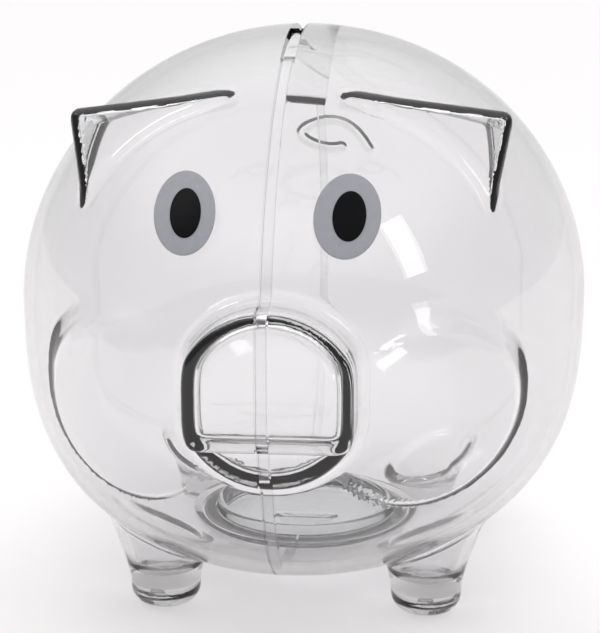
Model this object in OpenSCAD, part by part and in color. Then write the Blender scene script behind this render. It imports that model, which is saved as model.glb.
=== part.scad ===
// Clear moulded piggy bank: two half shells lapped on the mid-plane, a belly plug and printed eyes.
// The pig faces -Y, +X is its left side, and the feet stand on z = 0.

/* [Body] */
// Width of the body, side to side
body_w = 111; // [104:1:120]
// Length of the body without the snout
body_l = 137.5; // [130:0.5:150]
// Height of the back above the widest level
dome_h = 52.5; // [50:0.5:58]
// Depth of the belly below the widest level
belly_h = 53.4; // [52:0.2:56]
// How square the belly is across: 2 is round
belly_power = 2.85; // [2.3:0.05:3.2]
// Wall of both shells
wall = 2; // [1.6:0.1:2.4]
// Height of the widest level above the feet
centre_h = 58; // [57:0.5:62]

/* [Seam] */
// Width of the lap, from the mid-plane to where the outer skins meet
lap_w = 1.8; // [1.6:0.1:3]
// Gap left for the glue in the lap
lap_gap = 0.05; // [0.03:0.01:0.1]

/* [Coin slot] */
// Length of the slot, front to back
slot_l = 46; // [40:1:48]
// Width of the slot
slot_w = 2.6; // [2.4:0.1:3]
// Middle of the slot, ahead of the body's middle
slot_ahead = 5; // [0:0.5:8]
// Length of the stiffening strip inside the left shell, beside the slot
strip_l = 71; // [60:1:80]
// How far the strip reaches out from the mid-plane
strip_w = 6.6; // [5:0.2:8]
// How much the strip thickens the wall
strip_t = 0.8; // [0.6:0.1:1.5]

/* [Snout] */
// How far the snout stands out past the body
snout_reach = 6.25; // [5:0.25:9]
// Radius of the snout's front face
snout_r = 15; // [12:0.1:16]
// Radius that the snout widens to at the body
snout_root_r = 15.4; // [13:0.1:17]
// Half the width between the snout's flat sides
snout_flat = 13.8; // [12:0.1:15]
// How far the snout's middle lies below the widest level
snout_drop = 3.8; // [0:0.1:8]
// How far the upper lip's lower edge lies below the snout's middle
lip_drop = 6; // [3:0.1:8]
// How far the mouth is set back behind the upper lip
mouth_back = 3.6; // [2:0.1:4]

/* [Ears] */
// Radius of the ear's edges
ear_edge_r = 1.9; // [1.7:0.1:2.4]
// Radius of the hollow's edges inside the ear
ear_hollow_r = 0.5; // [0.3:0.1:0.8]

/* [Cheeks] */
// Radius of a cheek, seen from the front
cheek_r = 16.3; // [15:0.1:19]
// Cheek's middle, out from the mid-plane
cheek_x = 24.6; // [23:0.1:27]
// Cheek's middle, below the widest level
cheek_drop = 8.6; // [8:0.1:12]
// How far the cheek's rim stands out of the body
cheek_step = 1.2; // [0.6:0.1:1.8]
// How much more its middle stands out
cheek_crown = 1.4; // [0:0.1:2]

/* [Eyes] */
// Width of the eye, seen from the front
eye_w = 10.9; // [9:0.1:12]
// Height of the eye, seen from the front
eye_h = 12.7; // [10:0.1:14]
// Half the distance between the eyes' middles
eye_x = 13.5; // [12:0.1:16]
// How far both eyes sit towards the pig's right
eye_shift = 1.8; // [0:0.1:2]
// Eye's middle, above the widest level
eye_up = 24.2; // [22:0.1:28]
// Width of the pupil
pupil_w = 5.4; // [4:0.2:7]
// Height of the pupil
pupil_h = 7.4; // [6:0.2:9]
// How far both pupils sit towards the pig's left in their eyes
pupil_shift = 0.3; // [0:0.1:0.8]
// Thickness of a printed layer
print_t = 0.15; // [0.1:0.05:0.3]

/* [Legs] */
// Distance of a leg from the mid-plane
leg_x = 25.4; // [24:0.1:28]
// Distance of a leg ahead of or behind the body's middle
leg_y = 25; // [22:0.5:28]
// Radius of the flat under a foot
foot_flat_r = 3.4; // [3:0.1:4]
// Radius of the foot's rounded edge
foot_round = 3.2; // [2.5:0.1:3.4]
// Height of the solid foot below the leg's hollow
foot_floor = 7; // [6:0.5:9]

/* [Belly plug] */
// Radius of the hole in the belly
hole_r = 19; // [17:0.5:20]
// Radial clearance of the plug in the hole
plug_gap = 0.2; // [0.1:0.05:0.4]
// Radius of the plug's flange
flange_r = 21.8; // [20.5:0.1:22]
// Thickness of the flange
flange_t = 2.4; // [2:0.1:2.8]
// Thickness of the flange at its edge
flange_edge = 0.9; // [0.6:0.1:1.2]
// Radius of the flat on the flange's underside
flat_r = 18; // [16:0.5:20]
// Gap around the flange
flange_gap = 0.4; // [0.3:0.1:0.6]
// How far below the widest level the flange seats
seat_drop = 49.6; // [49.4:0.1:50.2]
// How far the plug's skirt reaches above the seat
skirt_h = 4; // [3:0.5:9]
// Wall of the skirt
skirt_wall = 1.6; // [1.2:0.1:2]
// How far the pull tab hangs below the flange
tab_h = 4; // [3:0.5:5]
// Radius of the pull tab
tab_r = 7; // [6:0.5:9]
// Thickness of the pull tab
tab_t = 2; // [1.6:0.1:2.4]

/* [Tail] */
// Height of the tail's bend above the widest level
tail_up = 26; // [24:0.5:32]
// How far the tail's bend lies to the pig's right
tail_bend = 6; // [4:0.5:8]
// How far the tail reaches from its bend to the pig's left
tail_span = 9.6; // [8:0.2:10]
// Radius of the tail
tail_r = 1; // [0.8:0.1:1.1]
// How far the middle of the tail's thickness stands off the back
tail_lift = -0.3; // [-0.5:0.1:0.3]

/* [Smoothness] */
// Flat faces around the body
around = 72; // [48:4:96]
// Rings from the seam to the side
rings = 20; // [12:1:26]

/* [Hidden] */
half_w = body_w / 2;
half_l = body_l / 2;
body_y = snout_reach / 2;          // puts the origin under the middle of the whole length
snout_front = -half_l - snout_reach;
cut = 1;                           // how far a cutting shape runs past what it cuts
print_gap = 0.03;                  // gap under each printed layer, so that the solids don't touch
leg_in = 34;                       // the legs' cones end this far below the widest level, inside the body
leg_top = centre_h - leg_in;
snout_depth = 20;                  // the snout's cone ends this far behind its front, inside the body
cheek_rim = [0.92, 1.1];           // where the cheek's rim slopes down, in cheek radii from its middle
cheek_fade = [-0.95, 0.25];        // where the cheek fades in, in cheek radii out from its middle
// The leg's outside as radius and height above the floor, from the foot's round to the body
leg_side = [[6.9, 5.6], [7.8, 9.5], [10.3, 17], [12.2, leg_top]];
// Corners of the ear's edges: inner tip, outer corner, lower tip, then two roots inside the body
ear_points = [[10.6, -38.1, 40.8], [37.2, -35.3, 37.3], [34.2, -41.2, 22.9], [33.5, -22, 34.5], [18, -30, 30]];
tail_rise = 5;                     // how steeply the tail rises to the left
tail_fall = 1.6;                   // how steeply its upper arm's end falls again
tail_ends = [-1, 1.3];             // the tail's lower and upper ends, where its bend is 0
tail_seam = sqrt((tail_bend - lap_w) / tail_span);  // where it crosses the seam, above and below
tail_over = 0.1;                   // how far each part runs past the seam before it is cut off there
$fn = 96;

// Everything below is placed from the body's middle.
module placed() translate([0, body_y, centre_h]) children();

// ---- The body's surface ----

function clamp01(v) = min(1, max(0, v));
function ease(v) = let (t = clamp01(v)) t * t * (3 - 2 * t);

// How far a cheek raises the surface at a point: a crowned disc that fades out towards the snout
function cheek_lift(x, y, z) =
    let (u = (abs(x) - cheek_x) / cheek_r, w = (z + cheek_drop) / cheek_r, out = norm([u, w]))
    y > 0 || out > cheek_rim[1] ? 0
    : ease((cheek_rim[1] - out) / (cheek_rim[1] - cheek_rim[0]))
      * ease((u - cheek_fade[0]) / (cheek_fade[1] - cheek_fade[0]))
      * (cheek_step + cheek_crown * (1 - min(1, out * out)));

// Outward direction of the surface at a point
function outward(p) =
    let (n = p[2] < 0 ? belly_power : 2, h = p[2] < 0 ? belly_h : dome_h,
         g = [2 * p[0] / pow(half_w, 2), 2 * p[1] / pow(half_l, 2),
              sign(p[2]) * n * pow(abs(p[2]), n - 1) / pow(h, n)])
    g / norm(g);

// The point at x and at an angle about the X axis, on the surface moved in by inset
function body_point(x, angle, inset) =
    let (s = 1 - pow(x / (half_w - inset), 2), up = sin(angle),
         n = up < 0 ? belly_power : 2, h = (up < 0 ? belly_h : dome_h) - inset,
         p = [x, (half_l - inset) * sqrt(s) * cos(angle), sign(up) * h * pow(s * up * up, 1 / n)])
    p + cheek_lift(p[0], p[1], p[2]) * outward(p);

// The point of the face at x and z, or with end = 1 of the pig's back, moved out by lift
function face_point(x, z, lift, end = -1) =
    let (p = [x, end * half_l * sqrt(1 - pow(x / half_w, 2) - pow(z / dome_h, 2)), z]) p + lift * outward(p);

// Half of the body as a closed solid, from a flat rim at rim_x to the side of the pig
module half_body(inset, rim_x) {
    reach = half_w - inset;
    xs = concat([rim_x], [for (k = [rim_x < 0 ? 0 : 1 : rings - 1]) reach * sin(90 * k / rings)]);
    last = len(xs) - 1;
    points = concat([for (x = xs) for (i = [0 : around - 1]) body_point(x, 360 * i / around, inset)],
                    [[reach, 0, 0]]);
    pole = len(points) - 1;
    faces = concat(
        [[for (i = [0 : around - 1]) i]],
        [for (k = [0 : last - 1]) for (i = [0 : around - 1])
            let (a = k * around, j = (i + 1) % around) each
            [[a + i, a + around + i, a + around + j], [a + i, a + around + j, a + j]]],
        [for (i = [0 : around - 1]) [last * around + i, pole, last * around + (i + 1) % around]]);
    polyhedron(points, faces);
}

// A slice of the body on the mid-plane, from x1 to x2, with its surface moved in by inset
module mid_slice(inset, x1, x2) {
    outline = [for (i = [0 : around - 1]) let (p = body_point(0, 360 * i / around, inset)) [p[1], p[2]]];
    translate([x1, 0, 0]) rotate([90, 0, 90]) linear_extrude(x2 - x1) polygon(outline);
    snout(inset, x1, x2);
}

// ---- Features that both shells have ----

// The snout between x1 and x2: a cone with flat sides, whose mouth is set back under the upper lip
module snout(inset, x1, x2) {
    front = snout_front + inset;
    spread = (snout_root_r - snout_r) / (snout_reach + 2);
    near = snout_flat - inset;
    far = near + spread * snout_depth;
    difference() {
        intersection() {
            translate([0, front, -snout_drop]) rotate([-90, 0, 0])
                cylinder(h = snout_depth, r1 = snout_r - inset, r2 = snout_r - inset + spread * snout_depth);
            translate([0, 0, -half_w]) linear_extrude(body_w)
                polygon([[max(x1, -near), front], [min(x2, near), front],
                         [min(x2, far), front + snout_depth], [max(x1, -far), front + snout_depth]]);
        }
        translate([-half_w, front - cut, -half_w])
            cube([body_w, cut + mouth_back, half_w - snout_drop - lip_drop - wall + inset]);
    }
}

module leg_outside() {
    rotate_extrude() polygon(concat([[0, 0]],
        [for (a = [-90 : 15 : -15]) [foot_flat_r, foot_round] + foot_round * [cos(a), sin(a)]],
        leg_side, [[0, leg_top]]));
}

module leg_hollow() {
    rotate_extrude() polygon(concat([[0, foot_floor], [foot_flat_r, foot_floor]],
        [for (p = leg_side) if (p[1] > foot_floor) p - [wall, 0]], [[0, leg_top]]));
}

module at_legs() {
    for (end = [-1, 1]) translate([leg_x, end * leg_y, -centre_h]) children();
}

module ear(edge_r) {
    hull() for (p = ear_points) translate(p) sphere(edge_r, $fn = 20);
}

// The middle of the tail at t
function tail_point(t) =
    face_point(tail_span * t * t - tail_bend, tail_up + tail_rise * t - tail_fall * pow(t, 7), tail_lift, 1);

// The part of the tail from t1 to t2, cut off where the shells' skins meet. side is 1 for the left shell.
module tail(t1, t2, side) {
    steps = 10;
    sides = 12;
    rings = [for (i = [0 : steps])
        let (t = t1 + (t2 - t1) * i / steps, p = tail_point(t), ahead = tail_point(t + 0.01) - p,
             across = cross(ahead, outward(p)), a = across / norm(across), up = cross(ahead / norm(ahead), a))
        for (k = [0 : sides - 1]) p + tail_r * (cos(360 * k / sides) * a + sin(360 * k / sides) * up)];
    intersection() {
        polyhedron(rings, concat(
            [[for (k = [0 : sides - 1]) k]],
            [for (i = [0 : steps - 1]) for (k = [0 : sides - 1])
                let (q = i * sides, j = (k + 1) % sides) each
                [[q + k, q + sides + k, q + sides + j], [q + k, q + sides + j, q + j]]],
            [[for (k = [sides - 1 : -1 : 0]) steps * sides + k]]));
        translate([side > 0 ? -lap_w : -lap_w - half_w, 0, 0]) cube([half_w, body_l, half_w]);
    }
}

// ---- The pieces ----

// A half shell on the +X side, from rim_x out. Its children stay solid where they reach into the hollow.
// turn is 1 for the left shell, and -1 for the right one, which is built mirrored.
module half_shell(rim_x, turn) {
    difference() {
        union() {
            half_body(0, rim_x);
            snout(0, rim_x, half_w);
            at_legs() leg_outside();
            ear(ear_edge_r);
        }
        difference() {
            half_body(wall, rim_x - cut);
            translate([0, 0, -seat_drop - cut]) cylinder(h = wall + cut, r = flange_r + wall);
            children();
        }
        snout(wall, rim_x - cut, half_w);
        at_legs() leg_hollow();
        ear(ear_hollow_r);
        translate([0, 0, -seat_drop - cut]) cylinder(h = 3 * wall, r = hole_r);
        translate([0, 0, -belly_h - cut]) cylinder(h = belly_h - seat_drop + cut, r = flange_r + flange_gap);
        translate([-(turn * lap_w + slot_w) / 2, -slot_ahead - slot_l / 2, dome_h / 2])
            cube([slot_w, slot_l, dome_h]);
    }
}

// The strip that thickens the wall beside the slot
module slot_strip() {
    difference() {
        translate([-lap_w, -slot_ahead - strip_l / 2, 0]) cube([lap_w + strip_w, strip_l, dome_h]);
        mid_slice(wall + strip_t, -lap_w - cut, strip_w + cut);
    }
}

module left_shell() {
    color([0.86, 0.88, 0.9, 0.4]) placed() union() {
        difference() {
            half_shell(-lap_w, 1) slot_strip();
            mid_slice(wall / 2, -lap_w - cut, 0);
        }
        tail(tail_ends[0], -tail_seam + tail_over, 1);
        tail(tail_seam - tail_over, tail_ends[1], 1);
    }
}

module right_shell() {
    color([0.82, 0.86, 0.9, 0.4]) placed() union() {
        difference() {
            mirror([1, 0, 0]) half_shell(0, -1);
            difference() {
                translate([-lap_w, snout_front - cut, -half_w - cut])
                    cube([lap_w + cut, body_l + snout_reach + 2 * cut, body_w + 2 * cut]);
                mid_slice(wall / 2 + lap_gap, -lap_w - cut, 2 * cut);
            }
        }
        tail(-tail_seam - tail_over, tail_seam + tail_over, -1);
    }
}

// The stopper: a flange under the belly, a hollow skirt in the hole and a tab to pull it by
module belly_plug() {
    skirt_r = hole_r - plug_gap;
    color([0.9, 0.92, 0.94, 0.5]) placed() translate([0, 0, -seat_drop]) difference() {
        union() {
            translate([0, 0, -flange_t]) cylinder(h = flange_t - flange_edge, r1 = flat_r, r2 = flange_r);
            translate([0, 0, -flange_edge]) cylinder(h = flange_edge, r = flange_r);
            cylinder(h = skirt_h, r = skirt_r);
            intersection() {
                translate([0, 0, tab_r - flange_t - tab_h]) rotate([90, 0, 0])
                    cylinder(h = tab_t, r = tab_r, center = true);
                translate([-tab_r, -tab_r, -flange_t - tab_h]) cube([2 * tab_r, 2 * tab_r, flange_t + tab_h]);
            }
        }
        cylinder(h = skirt_h + cut, r = skirt_r - skirt_wall);
    }
}

// An oval of ink on the face, from lift to lift + print_t above the surface
module print_oval(x, z, w, h, lift) {
    steps = 4;
    sides = 36;
    spots = concat([[0, 0]], [for (k = [1 : steps]) for (i = [0 : sides - 1])
        k / steps * [w / 2 * cos(360 * i / sides), h / 2 * sin(360 * i / sides)]]);
    count = len(spots);
    points = concat([for (s = spots) face_point(x + s[0], z + s[1], lift + print_t)],
                    [for (s = spots) face_point(x + s[0], z + s[1], lift)]);
    front = concat(
        [for (i = [0 : sides - 1]) [0, 1 + (i + 1) % sides, 1 + i]],
        [for (k = [0 : steps - 2]) for (i = [0 : sides - 1])
            let (a = 1 + k * sides, b = a + sides, j = (i + 1) % sides) each
            [[a + i, a + j, b + j], [a + i, b + j, b + i]]]);
    edge = count - sides;
    polyhedron(points, concat(front,
        [for (f = front) [f[2] + count, f[1] + count, f[0] + count]],
        [for (i = [0 : sides - 1]) let (j = (i + 1) % sides) each
            [[edge + i, edge + j, edge + j + count], [edge + i, edge + j + count, edge + i + count]]]));
}

module eye(side) {
    color([0.68, 0.69, 0.72]) placed() print_oval(side * eye_x - eye_shift, eye_up, eye_w, eye_h, print_gap);
}

module pupil(side) {
    color([0.05, 0.05, 0.06]) placed()
        print_oval(side * eye_x - eye_shift + pupil_shift, eye_up, pupil_w, pupil_h, 2 * print_gap + print_t);
}

module left_eye() eye(1);
module right_eye() eye(-1);
module left_pupil() pupil(1);
module right_pupil() pupil(-1);

left_shell();
right_shell();
belly_plug();
left_eye();
right_eye();
left_pupil();
right_pupil();
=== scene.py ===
"""Looks of the clear moulded piggy bank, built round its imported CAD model.

The two half shells and the plug are shaped here by one distance field, in millimetres from the body's
middle, so that every surface is smooth enough to refract cleanly. Their walls, seam and openings lie
where the CAD model has them.
"""

import math

import bmesh
import bpy
import numpy as np
from mathutils import Matrix, Vector


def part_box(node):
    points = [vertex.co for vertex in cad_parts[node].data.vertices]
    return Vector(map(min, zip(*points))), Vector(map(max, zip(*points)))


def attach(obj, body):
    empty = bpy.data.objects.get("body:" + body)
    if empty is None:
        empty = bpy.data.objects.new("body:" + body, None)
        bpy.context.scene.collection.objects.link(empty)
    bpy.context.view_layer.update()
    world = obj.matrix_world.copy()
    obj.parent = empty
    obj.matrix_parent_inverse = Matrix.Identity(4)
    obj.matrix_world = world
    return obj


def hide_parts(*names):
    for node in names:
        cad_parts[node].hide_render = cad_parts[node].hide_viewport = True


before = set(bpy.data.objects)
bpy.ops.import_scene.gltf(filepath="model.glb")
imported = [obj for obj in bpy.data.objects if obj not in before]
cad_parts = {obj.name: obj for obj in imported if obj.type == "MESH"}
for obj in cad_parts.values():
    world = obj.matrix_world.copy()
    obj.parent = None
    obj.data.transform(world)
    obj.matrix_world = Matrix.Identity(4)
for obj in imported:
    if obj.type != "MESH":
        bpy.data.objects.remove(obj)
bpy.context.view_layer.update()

MM = 0.001

# ---- Sizes, in millimetres, as the CAD model has them ----

CENTRE_H = 58.0  # the body's widest level above the feet
SNOUT_REACH = 6.25
BODY_Y = SNOUT_REACH / 2
HALF_W = round(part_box("left_shell")[1].x / MM, 1)
HALF_L = round(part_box("left_shell")[1].y / MM - BODY_Y, 2)
DOME_H = round(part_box("left_shell")[1].z / MM - CENTRE_H, 1)
BELLY_H = 53.4
BELLY_POWER = 2.85
WALL = 2.0
SKIN_X = -1.8  # where the shells' outer skins meet; their inner skins meet on the mid-plane
LAP_GAP = 0.05
GROOVE = 0.4  # width and depth of the fine line left where the two skins meet

CHEEK_R, CHEEK_X, CHEEK_DROP = 16.3, 24.6, 8.6
CHEEK_STEP, CHEEK_CROWN, CHEEK_EDGE = 1.2, 1.4, 0.1
CHEEK_SOFTENING = 2.5  # how much gentler the cheek's edge is at its top

SNOUT_R, SNOUT_ROOT_R, SNOUT_FLAT, SNOUT_DROP = 15.0, 15.4, 13.8, 3.8
SNOUT_SPREAD = (SNOUT_ROOT_R - SNOUT_R) / (SNOUT_REACH + 2)
LIP_DROP, MOUTH_BACK = 6.0, 3.6

EAR_EDGE_R, EAR_HOLLOW_R = 1.9, 0.5
EAR_POINTS = np.array(
    [[10.6, -38.1, 40.8], [37.2, -35.3, 37.3], [34.2, -41.2, 22.9], [33.5, -22.0, 34.5], [18.0, -30.0, 30.0]]
)

LEG_X, LEG_Y = 25.4, 25.0
LEG_SIDE = np.array([[6.6, 0.0], [6.9, 5.6], [7.8, 9.5], [10.3, 17.0], [12.2, 24.0]])  # radius, height
FOOT_ROUND, FOOT_FLOOR = 3.2, 7.0

TAIL_UP, TAIL_BEND, TAIL_SPAN, TAIL_R, TAIL_LIFT = 26.0, 6.0, 9.6, 1.0, -0.3
TAIL_RISE, TAIL_FALL, TAIL_ENDS = 5.0, 1.6, (-1.0, 1.3)

SLOT_L, SLOT_W, SLOT_AHEAD = 46.0, 2.6, 5.0
STRIP_L, STRIP_W, STRIP_T, STRIP_TAPER = 71.0, 6.6, 0.8, 2.0

SEAT_DROP, HOLE_R, PLUG_GAP = 49.6, 19.0, 0.2
FLANGE_R, FLANGE_T, FLANGE_EDGE, FLANGE_GAP, FLAT_R = 21.8, 2.4, 0.9, 0.4, 18.0
SKIRT_H, SKIRT_WALL = 4.0, 1.6
TAB_H, TAB_R, TAB_T = 4.0, 7.0, 2.0

EYE_X, EYE_SHIFT, EYE_UP, EYE_W, EYE_H = 13.5, 1.8, 24.2, 10.9, 12.7
PUPIL_W, PUPIL_H, PUPIL_SHIFT = 5.4, 7.4, 0.3
PRINT_T, PRINT_GAP = 0.15, 0.03
PRINT_RIM, PRINT_RIM_T = 0.06, 0.4  # the rim's width and thickness, as shares of the oval's and of PRINT_T

# Widths over which two surfaces run into each other
SNOUT_BLEND, LEG_BLEND, EAR_BLEND, TAIL_BLEND = 2.4, 1.2, 1.2, 1.0
SNOUT_DEPTH = 35.0  # how far the snout's cone reaches back, inside the body
PAST = 1.0  # how far a cutting shape runs past what it cuts
FAR = 90.0  # beyond the pig on every side


# ---- The distance field ----


def soft_max(a, b, k):
    """The larger of two distances, with the edge where they cross rounded over a width k."""
    h = np.maximum(k - np.abs(a - b), 0) / k
    return np.maximum(a, b) + h * h * k / 4


def soft_min(a, b, k):
    return -soft_max(-a, -b, k)


def ease(t):
    t = np.clip(t, 0, 1)
    return t * t * (3 - 2 * t)


def cheek_lift(p):
    """How far a cheek raises the surface: a crowned disc that fades out towards the snout."""
    u = (np.abs(p[:, 0]) - CHEEK_X) / CHEEK_R
    w = (p[:, 2] + CHEEK_DROP) / CHEEK_R
    out = np.hypot(u, w)
    edge = CHEEK_EDGE * (1 + CHEEK_SOFTENING * ease(w))
    rim = ease((1 + edge / 2 - out) / edge)
    lift = rim * ease((u + 0.95) / 1.2) * (CHEEK_STEP + CHEEK_CROWN * (1 - np.minimum(1, out * out)))
    return np.where(p[:, 1] > 0, 0, lift)


def body(p, inset):
    """The body with its cheeks: round above its widest level, and squarer below."""
    below = p[:, 2] < 0
    n = np.where(below, BELLY_POWER, 2.0)
    h = np.where(below, BELLY_H, DOME_H)
    z = np.abs(p[:, 2]) + 1e-9
    level = (p[:, 0] / HALF_W) ** 2 + (p[:, 1] / HALF_L) ** 2 + (z / h) ** n - 1
    slope = np.sqrt(
        (2 * p[:, 0] / HALF_W**2) ** 2 + (2 * p[:, 1] / HALF_L**2) ** 2 + (n * z ** (n - 1) / h**n) ** 2
    )
    return level / np.maximum(slope, 1e-4) + inset - cheek_lift(p)


def snout(p, inset):
    """A cone with flat sides, whose mouth is set back under the upper lip."""
    front = -HALF_L - SNOUT_REACH
    x, y, z = np.abs(p[:, 0]), p[:, 1], p[:, 2] + SNOUT_DROP
    grow = SNOUT_SPREAD * (y - front)
    side = soft_max(np.hypot(x, z) - SNOUT_R - grow, x - SNOUT_FLAT - grow, 1.2)
    cone = soft_max(side + inset, front + inset - y, 1.6)
    mouth = soft_max(y - front - MOUTH_BACK - inset, z + LIP_DROP + WALL - inset, 1.2)
    return np.maximum(soft_max(cone, -mouth, 1.4), y - front - SNOUT_DEPTH)


def legs(p, inset, floor):
    """Turned legs with a rounded foot, whose flat lies at the height floor."""
    x, y, h = np.abs(p[:, 0]) - LEG_X, np.abs(p[:, 1]) - LEG_Y, p[:, 2] + CENTRE_H
    side = np.hypot(x, y) - np.interp(h, LEG_SIDE[:, 1], LEG_SIDE[:, 0]) + inset + FOOT_ROUND
    base = floor - h + FOOT_ROUND
    round_foot = np.hypot(np.maximum(side, 0), np.maximum(base, 0)) + np.minimum(np.maximum(side, base), 0)
    return np.maximum(round_foot - FOOT_ROUND, h - LEG_SIDE[-1, 1])


def hull_faces(points):
    """The triangles round a few points, each turned so that the others lie behind it."""
    faces = []
    count = len(points)
    for i in range(count):
        for j in range(i + 1, count):
            for k in range(j + 1, count):
                normal = np.cross(points[j] - points[i], points[k] - points[i])
                side = (points - points[i]) @ normal
                if side.max() < 1e-6 or side.min() > -1e-6:
                    faces.append((points[i], points[j], points[k], normal * (1 if side.max() < 1e-6 else -1)))
    return faces


def segment_distance2(p, a, b):
    along = np.clip((p - a) @ (b - a) / ((b - a) @ (b - a)), 0, 1)
    gap = p - a - along[:, None] * (b - a)
    return (gap * gap).sum(1)


def hull_distance(p, faces):
    """Signed distance to a small convex hull."""
    nearest = np.full(len(p), 1e9)
    deepest = np.full(len(p), -1e9)
    for a, b, c, normal in faces:
        n = normal / np.linalg.norm(normal)
        height = (p - a) @ n
        deepest = np.maximum(deepest, height)
        inside = np.ones(len(p), bool)
        turn = 1 if np.cross(b - a, c - a) @ n > 0 else -1
        for u, v in ((a, b), (b, c), (c, a)):
            inside &= turn * ((p - u) @ np.cross(n, v - u)) >= 0
        edges = np.minimum.reduce([segment_distance2(p, u, v) for u, v in ((a, b), (b, c), (c, a))])
        nearest = np.minimum(nearest, np.where(inside, height * height, edges))
    return np.where(deepest > 0, np.sqrt(nearest), deepest)


EAR_FACES = hull_faces(EAR_POINTS)


def ears(p, edge_r):
    """Distance to both ears, found only close to them."""
    q = np.column_stack([np.abs(p[:, 0]), p[:, 1], p[:, 2]])
    near = ((q > EAR_POINTS.min(0) - 8) & (q < EAR_POINTS.max(0) + 8)).all(1)
    d = np.full(len(p), 50.0)
    if near.any():
        d[near] = hull_distance(q[near], EAR_FACES) - edge_r
    return d


def tail_path():
    """Points along the tail, which bends back on itself on the upper back."""
    t = np.linspace(*TAIL_ENDS, 40)
    x, z = TAIL_SPAN * t * t - TAIL_BEND, TAIL_UP + TAIL_RISE * t - TAIL_FALL * t**7
    y = HALF_L * np.sqrt(1 - (x / HALF_W) ** 2 - (z / DOME_H) ** 2)
    out = np.column_stack([x / HALF_W**2, y / HALF_L**2, z / DOME_H**2])
    return np.column_stack([x, y, z]) + TAIL_LIFT * out / np.linalg.norm(out, axis=1, keepdims=True)


TAIL = tail_path()


def tail(p):
    """Distance to the tail, found only close to it."""
    near = ((p > TAIL.min(0) - 5) & (p < TAIL.max(0) + 5)).all(1)
    d = np.full(len(p), 50.0)
    if near.any():
        q = p[near]
        nearest2 = np.minimum.reduce([segment_distance2(q, a, b) for a, b in zip(TAIL, TAIL[1:])])
        d[near] = np.sqrt(nearest2) - TAIL_R
    return d


def outside(p):
    """The shells' outer skin."""
    d = soft_min(body(p, 0), snout(p, 0), SNOUT_BLEND)
    d = soft_min(d, legs(p, 0, 0), LEG_BLEND)
    d = soft_min(d, ears(p, EAR_EDGE_R), EAR_BLEND)
    return soft_min(d, tail(p), TAIL_BLEND)


def hollow(p):
    """The shells' inner skin."""
    d = soft_min(body(p, WALL), snout(p, WALL), SNOUT_BLEND)
    d = soft_min(d, legs(p, WALL, FOOT_FLOOR), LEG_BLEND)
    return soft_min(d, ears(p, EAR_HOLLOW_R), EAR_BLEND)


def plug(p):
    """The stopper round the middle of its seat: flange, hollow skirt and pull tab."""
    x, y, z = p.T
    r = np.hypot(x, y)
    rise, run = FLANGE_T - FLANGE_EDGE, FLANGE_R - FLAT_R
    cone = (rise * (r - FLANGE_R) - run * (z + FLANGE_EDGE)) / math.hypot(rise, run)
    flange = soft_max(soft_max(soft_max(r - FLANGE_R, z, 0.4), -FLANGE_T - z, 0.6), cone, 0.6)
    skirt_r = HOLE_R - PLUG_GAP
    wall = soft_max(soft_max(r - skirt_r, skirt_r - SKIRT_WALL - r, 0.4), z - SKIRT_H, 0.8)
    d = soft_min(flange, np.maximum(wall, -FLANGE_EDGE - z), 0.4)
    tab = soft_max(np.hypot(x, z + FLANGE_T + TAB_H - TAB_R) - TAB_R, np.abs(y) - TAB_T / 2, 1.2)
    return soft_min(d, np.maximum(tab, z + FLANGE_EDGE), 0.8)


def gradient(field, p, reach=0.02):
    g = np.empty_like(p)
    for axis in range(3):
        step = np.zeros(3)
        step[axis] = reach
        g[:, axis] = (field(p + step) - field(p - step)) / (2 * reach)
    return g


# ---- Meshes from fields and outlines ----


def settle(points, field, step, rounds=4):
    """Moves points onto the field's surface."""
    for _ in range(rounds):
        g = gradient(field, points)
        move = (field(points) / np.maximum((g * g).sum(1), 1e-6))[:, None] * g
        length = np.linalg.norm(move, axis=1, keepdims=True)
        points = points - move * np.minimum(1, step / np.maximum(length, 1e-9))
    return points


def surface_net(field, low, high, step):
    """The closed surface of a field as quads: one point in each grid cell that the surface crosses."""
    axes = [np.arange(low[i], high[i] + step, step) for i in range(3)]
    shape = tuple(len(a) for a in axes)
    values = np.empty(shape)
    for i, x in enumerate(axes[0]):
        yy, zz = np.meshgrid(axes[1], axes[2], indexing="ij")
        slab = np.column_stack([np.full(yy.size, x), yy.ravel(), zz.ravel()])
        values[i] = field(slab).reshape(shape[1:])
    cells = tuple(n - 1 for n in shape)
    total = np.zeros((*cells, 3))
    count = np.zeros(cells)
    crossings = []
    for axis in range(3):
        one, two = [slice(None)] * 3, [slice(None)] * 3
        one[axis], two[axis] = slice(0, -1), slice(1, None)
        a, b = values[tuple(one)], values[tuple(two)]
        at = np.argwhere((a < 0) != (b < 0))
        fa, fb = a[tuple(at.T)], b[tuple(at.T)]
        spot = at.astype(float)
        spot[:, axis] += fa / (fa - fb)
        others = [i for i in range(3) if i != axis]
        at = at[((at[:, others] > 0) & (at[:, others] < np.array(shape)[others] - 1)).all(1)]
        crossings.append((axis, others, at, values[tuple(at.T)] < 0))
        for du in (0, 1):
            for dv in (0, 1):
                cell = np.argwhere((a < 0) != (b < 0))
                cell[:, others] -= (du, dv)
                good = ((cell >= 0) & (cell < np.array(cells))).all(1)
                np.add.at(total, tuple(cell[good].T), spot[good])
                np.add.at(count, tuple(cell[good].T), 1)
    used = count > 0
    index = np.full(cells, -1)
    index[used] = np.arange(used.sum())
    points = total[used] / count[used][:, None] * step + np.array(low)
    quads = []
    for axis, others, at, inside in crossings:
        corners = []
        for du, dv in ((1, 1), (0, 1), (0, 0), (1, 0)):
            cell = at.copy()
            cell[:, others] -= (du, dv)
            corners.append(index[tuple(cell.T)])
        quad = np.column_stack(corners)
        flip = inside if axis == 1 else ~inside
        quad[flip] = quad[flip][:, ::-1]
        quads.append(quad)
    return points, np.concatenate(quads)


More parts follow.
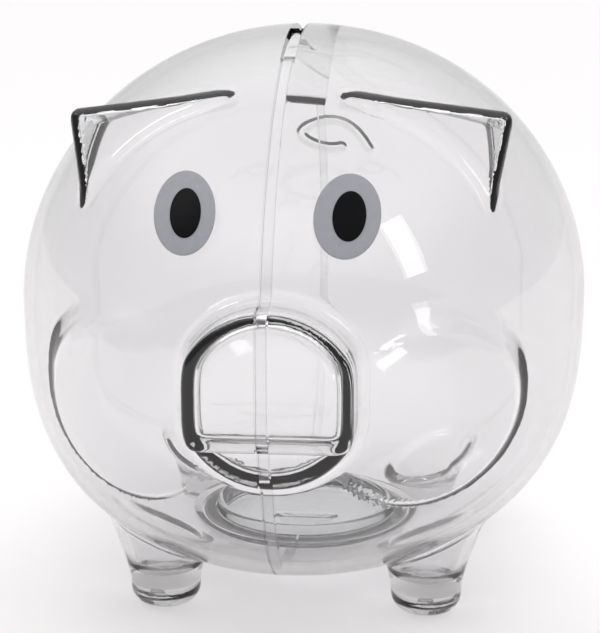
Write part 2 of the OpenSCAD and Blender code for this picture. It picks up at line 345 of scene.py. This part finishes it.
def relax(points, quads, field, step, rounds=2):
    """Evens out the quads along the surface, so that none is a sliver."""
    ends = np.concatenate([quads[:, [i, (i + 1) % 4]] for i in range(4)])
    degree = np.bincount(ends[:, 0], minlength=len(points))[:, None]
    for _ in range(rounds):
        total = np.zeros_like(points)
        for axis in range(3):
            total[:, axis] = np.bincount(ends[:, 0], points[ends[:, 1], axis], len(points))
        points = settle(points + 0.5 * (total / np.maximum(degree, 1) - points), field, step, 1)
    return settle(points, field, step, 3)


def new_object(name, points, faces):
    mesh = bpy.data.meshes.new(name)
    mesh.from_pydata([tuple(p) for p in points], [], [tuple(int(i) for i in f) for f in faces])
    mesh.validate()
    bm = bmesh.new()
    bm.from_mesh(mesh)
    if bm.calc_volume(signed=True) < 0:
        bmesh.ops.reverse_faces(bm, faces=bm.faces)
    bm.to_mesh(mesh)
    bm.free()
    obj = bpy.data.objects.new(name, mesh)
    bpy.context.scene.collection.objects.link(obj)
    return obj


def field_object(name, field, step, low, high):
    points, quads = surface_net(field, low, high, step)
    return new_object(name, relax(settle(points, field, step), quads, field, step), quads)


def box_object(name, low, high):
    bm = bmesh.new()
    bmesh.ops.create_cube(bm, size=1)
    low, high = Vector(low), Vector(high)
    for v in bm.verts:
        v.co = (low + high) / 2 + Vector(a * b for a, b in zip(v.co, high - low, strict=True))
    return finish_bmesh(name, bm)


def drum_object(name, radius, low, high, sides=192):
    bm = bmesh.new()
    bmesh.ops.create_cone(
        bm, cap_ends=True, segments=sides, radius1=radius, radius2=radius, depth=high - low,
        matrix=Matrix.Translation((0, 0, (low + high) / 2)),
    )
    return finish_bmesh(name, bm)


def finish_bmesh(name, bm):
    mesh = bpy.data.meshes.new(name)
    bm.to_mesh(mesh)
    bm.free()
    obj = bpy.data.objects.new(name, mesh)
    bpy.context.scene.collection.objects.link(obj)
    return obj


def combined(obj, operation, *tools):
    """obj after one boolean with each tool."""
    for tool in tools:
        mod = obj.modifiers.new("cut", "BOOLEAN")
        mod.operation = operation
        mod.solver = "MANIFOLD"
        mod.object = tool
    graph = bpy.context.evaluated_depsgraph_get()
    mesh = bpy.data.meshes.new_from_object(obj.evaluated_get(graph))
    obj.modifiers.clear()
    old, obj.data = obj.data, mesh
    bpy.data.meshes.remove(old)
    return obj


def copied(obj, name):
    twin = obj.copy()
    twin.data = obj.data.copy()
    twin.name = name
    bpy.context.scene.collection.objects.link(twin)
    return twin


def discard(*objs):
    for obj in objs:
        mesh = obj.data
        bpy.data.objects.remove(obj)
        bpy.data.meshes.remove(mesh)


def mid_prism(name, inset, x1, x2):
    """What lies deeper than inset under the mid-plane's outline, from x1 to x2."""
    angles = np.linspace(0, 2 * math.pi, 900, endpoint=False)
    angles = angles - 0.35 * np.sin(2 * angles)  # closer together at the snout and at the back
    near, far = np.full(len(angles), BELLY_H / 2), np.full(len(angles), FAR)
    for _ in range(40):
        middle = (near + far) / 2
        p = np.column_stack([np.zeros(len(angles)), middle * np.cos(angles), middle * np.sin(angles)])
        d = soft_min(body(p, inset), snout(p, inset), SNOUT_BLEND)
        near, far = np.where(d < 0, middle, near), np.where(d < 0, far, middle)
    outline = np.column_stack([near * np.cos(angles), near * np.sin(angles)])
    count = len(outline)
    points = [(x, y, z) for x in (x1, x2) for y, z in outline]
    faces = [[i, count + i, count + (i + 1) % count, (i + 1) % count] for i in range(count)]
    return new_object(name, points, [list(range(count)), list(range(2 * count - 1, count - 1, -1)), *faces])


def slot_strip():
    """The strip inside the left shell that thickens the wall beside the slot."""
    ys = np.linspace(-SLOT_AHEAD - STRIP_L / 2, -SLOT_AHEAD + STRIP_L / 2, 90)
    rings = []
    for y in ys:
        ring = []
        thick = STRIP_T * min(1, max(0.1, (STRIP_L / 2 - abs(y + SLOT_AHEAD)) / STRIP_TAPER))
        for x, inset in ((0, WALL / 2), (STRIP_W, WALL / 2), (STRIP_W, WALL + thick), (0, WALL + thick)):
            s = 1 - (x / (HALF_W - inset)) ** 2 - (y / (HALF_L - inset)) ** 2
            ring.append((x, y, (DOME_H - inset) * math.sqrt(s)))
        rings.append(ring)
    points = [p for ring in rings for p in ring]
    last = len(points) - 4
    faces = [[0, 1, 2, 3], [last + 3, last + 2, last + 1, last]]
    for k in range(len(rings) - 1):
        for i in range(4):
            j = (i + 1) % 4
            faces.append([4 * k + i, 4 * k + 4 + i, 4 * k + 4 + j, 4 * k + j])
    return new_object("strip", points, faces)


def true_normals(obj, *surfaces):
    """Gives every corner on a field's surface its exact normal, and leaves cut faces flat."""
    mesh = obj.data
    mesh.polygons.foreach_set("use_smooth", np.ones(len(mesh.polygons), bool))
    mesh.set_sharp_from_angle(angle=math.radians(30))
    points = np.empty(len(mesh.vertices) * 3)
    mesh.vertices.foreach_get("co", points)
    points = points.reshape(-1, 3)
    corner_vertex = np.empty(len(mesh.loops), int)
    mesh.loops.foreach_get("vertex_index", corner_vertex)
    corners = np.empty(len(mesh.loops) * 3)
    mesh.corner_normals.foreach_get("vector", corners)
    corners = corners.reshape(-1, 3)
    face_normal = np.empty(len(mesh.polygons) * 3)
    mesh.polygons.foreach_get("normal", face_normal)
    sizes = np.empty(len(mesh.polygons), int)
    mesh.polygons.foreach_get("loop_total", sizes)
    face_of = np.repeat(np.arange(len(sizes)), sizes)
    face_normal = face_normal.reshape(-1, 3)[face_of]
    for field, sign in surfaces:
        on = np.abs(field(points)) < 0.03
        whole = np.bincount(face_of, ~on[corner_vertex], len(sizes)) == 0
        g = gradient(field, points) * sign
        g /= np.maximum(np.linalg.norm(g, axis=1, keepdims=True), 1e-9)
        wanted = g[corner_vertex]
        use = whole[face_of] & ((wanted * face_normal).sum(1) > 0.5)
        corners[use] = wanted[use]
    mesh.normals_split_custom_set([tuple(n) for n in corners])


def install(obj, node, body_name):
    """Puts a piece in the row frame, from millimetres round the body's middle, in place of a CAD node."""
    obj.data.transform(Matrix.Translation((0, BODY_Y * MM, CENTRE_H * MM)) @ Matrix.Scale(MM, 4))
    obj.data.update()
    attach(obj, body_name)
    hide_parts(node)
    return obj


# ---- The pieces ----


def make_shells():
    """Both half shells: one skin less its hollow and openings, parted along the lap joint."""
    step = 0.8
    low = (-HALF_W - 3, -HALF_L - SNOUT_REACH - 3, -CENTRE_H - 3)
    high = (HALF_W + 3, HALF_L + 3, DOME_H + 3)
    skin = field_object("skin", outside, step, low, high)
    room = field_object("room", hollow, step, low, high)
    seat = drum_object("seat", FLANGE_R + WALL, -SEAT_DROP - PAST, -SEAT_DROP + WALL)
    combined(room, "DIFFERENCE", seat)
    hole = drum_object("hole", HOLE_R, -SEAT_DROP - 2, -SEAT_DROP + 4)
    recess = drum_object("recess", FLANGE_R + FLANGE_GAP, -BELLY_H - 3, -SEAT_DROP)
    slot = box_object(
        "slot", ((SKIN_X - SLOT_W) / 2, -SLOT_AHEAD - SLOT_L / 2, DOME_H / 2),
        ((SKIN_X + SLOT_W) / 2, -SLOT_AHEAD + SLOT_L / 2, DOME_H + 5),
    )
    combined(skin, "DIFFERENCE", room, recess, hole)
    left_side = box_object("left_side", (SKIN_X, -FAR, -FAR), (FAR, FAR, FAR))
    right_side = box_object("right_side", (-FAR, -FAR, -FAR), (SKIN_X, FAR, FAR))
    lip = mid_prism("lip", WALL / 2, SKIN_X - PAST, 0)
    tongue = mid_prism("tongue", WALL / 2 + LAP_GAP, SKIN_X - PAST / 2, -LAP_GAP)
    strip = slot_strip()
    under = mid_prism("under", GROOVE, SKIN_X - PAST, SKIN_X + PAST)
    outer_groove = box_object(
        "outer_groove", (SKIN_X - GROOVE / 2, -FAR, -FAR), (SKIN_X + GROOVE / 2, FAR, FAR)
    )
    combined(outer_groove, "DIFFERENCE", under)
    inner_groove = mid_prism("inner_groove", WALL - GROOVE, -GROOVE / 2, GROOVE / 2)
    left = copied(skin, "clear_left_shell")
    combined(left, "INTERSECT", left_side)
    combined(left, "DIFFERENCE", lip, outer_groove, inner_groove)
    combined(left, "UNION", strip)
    combined(left, "DIFFERENCE", slot)
    combined(right_side, "UNION", tongue)
    right = copied(skin, "clear_right_shell")
    combined(right, "INTERSECT", right_side)
    combined(right, "DIFFERENCE", slot, outer_groove, inner_groove)
    discard(skin, room, seat, hole, recess, slot, left_side, right_side, lip, tongue, strip)
    discard(under, outer_groove, inner_groove)
    for obj, node in ((left, "left_shell"), (right, "right_shell")):
        true_normals(obj, (outside, 1), (hollow, -1))
        install(obj, node, "bank")
    return left, right


def make_plug():
    """The belly plug, meshed round the middle of its seat."""
    step = 0.4
    low = (-FLANGE_R - 2, -FLANGE_R - 2, -FLANGE_T - TAB_H - 2)
    obj = field_object("clear_belly_plug", plug, step, low, (FLANGE_R + 2, FLANGE_R + 2, SKIRT_H + 2))
    true_normals(obj, (plug, 1))
    obj.data.transform(Matrix.Translation((0, 0, -SEAT_DROP)))
    return install(obj, "belly_plug", "plug")


def print_oval(name, x, z, width, height, lift):
    """An oval of ink on the face round x and z, thinning towards its rim, from lift above the surface."""
    rings, sides = ((20, 120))
    share = np.sin(np.linspace(0, math.pi / 2, rings + 1))[1:]
    turn = np.linspace(0, 2 * math.pi, sides, endpoint=False)
    u = np.concatenate([[0], np.outer(share, np.cos(turn)).ravel()])
    w = np.concatenate([[0], np.outer(share, np.sin(turn)).ravel()])
    spot_x, spot_z = x + width / 2 * u, z + height / 2 * w
    spot = np.column_stack(
        [spot_x, -HALF_L * np.sqrt(1 - (spot_x / HALF_W) ** 2 - (spot_z / DOME_H) ** 2), spot_z]
    )
    out = spot / np.array([HALF_W**2, HALF_L**2, DOME_H**2])
    out /= np.linalg.norm(out, axis=1, keepdims=True)
    inner = np.clip((1 - np.hypot(u, w)) / PRINT_RIM, 0, 1)
    top = lift + PRINT_T * (PRINT_RIM_T + (1 - PRINT_RIM_T) * np.sqrt(inner * (2 - inner)))
    count = len(spot)
    points = np.concatenate([spot + top[:, None] * out, spot + lift * out])
    front = [[0, 1 + i, 1 + (i + 1) % sides] for i in range(sides)]
    for k in range(rings - 1):
        for i in range(sides):
            a, j = 1 + k * sides, (i + 1) % sides
            front.append([a + i, a + sides + i, a + sides + j, a + j])
    back = [[count + i for i in reversed(face)] for face in front]
    edge = count - sides
    wall = []
    for i in range(sides):
        j = (i + 1) % sides
        wall.append([edge + i, edge + count + i, edge + count + j, edge + j])
    obj = new_object(name, points, front + back + wall)
    obj.data.polygons.foreach_set("use_smooth", np.ones(len(obj.data.polygons), bool))
    obj.data.set_sharp_from_angle(angle=math.radians(60))
    return obj


def make_eyes():
    """The eyes' ovals, whose grey is painted shade on white ink, with the black pupils on them."""
    eyes, pupils = [], []
    for side, turn in (("left", 1), ("right", -1)):
        x = turn * EYE_X - EYE_SHIFT
        eye = print_oval(f"{side}_eye_print", x, EYE_UP, EYE_W, EYE_H, PRINT_GAP)
        eyes.append(install(eye, f"{side}_eye", "bank"))
        dot = print_oval(
            f"{side}_pupil_print", x + PUPIL_SHIFT, EYE_UP, PUPIL_W, PUPIL_H, 2 * PRINT_GAP + PRINT_T
        )
        pupils.append(install(dot, f"{side}_pupil", "bank"))
    return eyes, pupils


left_shell, right_shell = make_shells()
belly_plug = make_plug()
eyes, pupils = make_eyes()


# ---- Materials ----


def new_material(name):
    material = bpy.data.materials.new(name)
    material.use_nodes = True
    nodes = material.node_tree.nodes
    return material, nodes, material.node_tree.links, nodes["Principled BSDF"]


ABSORPTION = 36  # per metre: the plastic greys where light runs along the wall


def clear_plastic(name, tint, ior, rough):
    """Clear polished plastic with faint flow marks from moulding."""
    material, nodes, links, shader = new_material(name)
    shader.inputs["Base Color"].default_value = (*tint, 1)
    shader.inputs["Transmission Weight"].default_value = 1
    shader.inputs["IOR"].default_value = ior
    depth = nodes.new("ShaderNodeVolumeAbsorption")
    depth.inputs["Color"].default_value = (0.0, 0.0, 0.0, 1)
    depth.inputs["Density"].default_value = ABSORPTION
    links.new(depth.outputs["Volume"], nodes["Material Output"].inputs["Volume"])
    where = nodes.new("ShaderNodeTexCoord")
    flow = nodes.new("ShaderNodeTexNoise")
    flow.inputs["Scale"].default_value = 28
    flow.inputs["Detail"].default_value = 2
    links.new(where.outputs["Object"], flow.inputs["Vector"])
    wave = nodes.new("ShaderNodeBump")
    wave.inputs["Strength"].default_value = 0.05
    wave.inputs["Distance"].default_value = 0.0006
    links.new(flow.outputs["Fac"], wave.inputs["Height"])
    links.new(wave.outputs["Normal"], shader.inputs["Normal"])
    shade = nodes.new("ShaderNodeMapRange")
    shade.inputs["From Min"].default_value = 0.35
    shade.inputs["From Max"].default_value = 0.75
    shade.inputs["To Min"].default_value = 0
    shade.inputs["To Max"].default_value = rough
    links.new(flow.outputs["Fac"], shade.inputs["Value"])
    links.new(shade.outputs["Result"], shader.inputs["Roughness"])
    return material


SHELL = clear_plastic("clear_shell", (0.95, 0.95, 0.955), 1.57, 0.05)
PLUG = clear_plastic("clear_plug", (0.95, 0.96, 0.965), 1.5, 0.12)


def printed_ink(name, colour, rough, shine):
    """Ink with the fine grain of pad printing."""
    material, nodes, links, shader = new_material(name)
    where = nodes.new("ShaderNodeTexCoord")
    grain = nodes.new("ShaderNodeTexNoise")
    grain.inputs["Scale"].default_value = 900
    links.new(where.outputs["Object"], grain.inputs["Vector"])
    ramp = nodes.new("ShaderNodeValToRGB")
    ramp.color_ramp.elements[0].color = (*[c * 0.92 for c in colour], 1)
    ramp.color_ramp.elements[1].color = (*[min(1, c * 1.08) for c in colour], 1)
    links.new(grain.outputs["Fac"], ramp.inputs["Fac"])
    links.new(ramp.outputs["Color"], shader.inputs["Base Color"])
    shader.inputs["Roughness"].default_value = rough
    shader.inputs["Specular IOR Level"].default_value = shine
    return material


# The eyes' grey is painted shade: the ink is white, and is darkened here to stand in for the back light.
EYE = printed_ink("eye_grey", (0.33, 0.335, 0.37), 0.4, 0.3)
PUPIL = printed_ink("pupil_black", (0.004, 0.004, 0.005), 0.3, 0.05)

for pieces, material in (
    ([left_shell, right_shell], SHELL),
    ([belly_plug], PLUG),
    (eyes, EYE),
    (pupils, PUPIL),
):
    for piece in pieces:
        piece.data.materials.clear()
        piece.data.materials.append(material)
for piece in (left_shell, right_shell, belly_plug):
    piece.visible_shadow = False  # clear walls pass nearly all the light on

# ---- Stage ----

FLOOR_R, FLOOR_SIDES = 15, 96  # metres: out to the horizon as the camera sees it
floor_material, _, _, paper = new_material("paper")
paper.inputs["Base Color"].default_value = (0.94, 0.915, 0.925, 1)
paper.inputs["Roughness"].default_value = 0.9
paper.inputs["Specular IOR Level"].default_value = 0.1
angles = np.linspace(0, 2 * math.pi, FLOOR_SIDES, endpoint=False)
rim = [(FLOOR_R * math.cos(a), FLOOR_R * math.sin(a), 0) for a in angles]
floor = new_object("paper_floor", rim, [list(range(FLOOR_SIDES))])
floor.data.materials.append(floor_material)


def softbox(name, where, width, height, power):
    """A soft rectangular light turned to the pig."""
    data = bpy.data.lights.new(name, "AREA")
    data.shape = "RECTANGLE"
    data.size, data.size_y, data.energy = width, height, power
    obj = bpy.data.objects.new(name, data)
    obj.location = where
    obj.rotation_euler = (Vector((0, 0, CENTRE_H * MM)) - Vector(where)).to_track_quat("-Z", "Y").to_euler()
    obj.visible_camera = False
    bpy.context.scene.collection.objects.link(obj)


softbox("left_box", (-0.62, -0.22, 0.81), 0.1, 0.3, 0.6)
softbox("right_box", (0.72, -0.39, 0.63), 0.17, 0.42, 0.6)


def sky_ramp(nodes, horizon, middle, top):
    """A grey for each height above the horizon."""
    ramp = nodes.new("ShaderNodeValToRGB")
    ramp.color_ramp.interpolation = "EASE"
    stops = ramp.color_ramp.elements
    stops[0].position, stops[0].color = 0.0, (horizon, horizon, horizon, 1)
    stops[1].position, stops[1].color = 0.85, (top, top, top, 1)
    for height in (0.15, 0.35):
        stops.new(height).color = (middle, middle, middle, 1)
    return ramp


def studio_sky():
    """White behind the pig and above it, and a darker room in front and at the sides."""
    world = bpy.data.worlds.new("studio")
    world.use_nodes = True
    nodes, links = world.node_tree.nodes, world.node_tree.links
    where = nodes.new("ShaderNodeTexCoord")
    parts = nodes.new("ShaderNodeSeparateXYZ")
    links.new(where.outputs["Generated"], parts.inputs["Vector"])
    behind = nodes.new("ShaderNodeMapRange")
    behind.inputs["From Min"].default_value = 0.1
    behind.inputs["From Max"].default_value = 0.9
    links.new(parts.outputs["Y"], behind.inputs["Value"])
    mix = nodes.new("ShaderNodeMix")
    mix.data_type = "RGBA"
    links.new(behind.outputs["Result"], mix.inputs["Factor"])
    for socket, greys in (("A", (0.45, 0.35, 1.4)), ("B", (0.95, 0.85, 1.4))):
        ramp = sky_ramp(nodes, *greys)
        links.new(parts.outputs["Z"], ramp.inputs["Fac"])
        links.new(ramp.outputs["Color"], [s for s in mix.inputs if s.name == socket and s.type == "RGBA"][0])
    links.new([s for s in mix.outputs if s.type == "RGBA"][0], nodes["Background"].inputs["Color"])
    nodes["Background"].inputs["Strength"].default_value = 1
    bpy.context.scene.world = world


studio_sky()
bpy.context.scene.view_settings.view_transform = "Standard"

# ---- Camera ----

AZIMUTH, ELEVATION, ROLL = math.radians(5.0), math.radians(13.0), math.radians(-0.05)
DISTANCE = 0.3239
ASIDE, ABOVE = 0.0012, 0.0061  # the body's middle lies this far right of and above the camera's aim


def make_camera():
    """The camera at the photograph's viewing angle."""
    a, e = AZIMUTH, ELEVATION
    back = Vector((math.sin(a) * math.cos(e), -math.cos(a) * math.cos(e), math.sin(e)))
    right = Vector((math.cos(a), math.sin(a), 0))
    up = back.cross(right)
    turned_right = right * math.cos(ROLL) + up * math.sin(ROLL)
    turned_up = up * math.cos(ROLL) - right * math.sin(ROLL)
    data = bpy.data.cameras.new("camera")
    data.lens, data.sensor_width = 90.9, 36
    data.clip_start, data.clip_end = 0.01, 10
    obj = bpy.data.objects.new("camera", data)
    middle = Vector((0, BODY_Y * MM, CENTRE_H * MM))
    turn = Matrix((turned_right, turned_up, back)).transposed().to_4x4()
    spot = middle + back * DISTANCE - turned_right * ASIDE - turned_up * ABOVE
    obj.matrix_world = Matrix.Translation(spot) @ turn
    bpy.context.scene.collection.objects.link(obj)
    bpy.context.scene.camera = obj


make_camera()
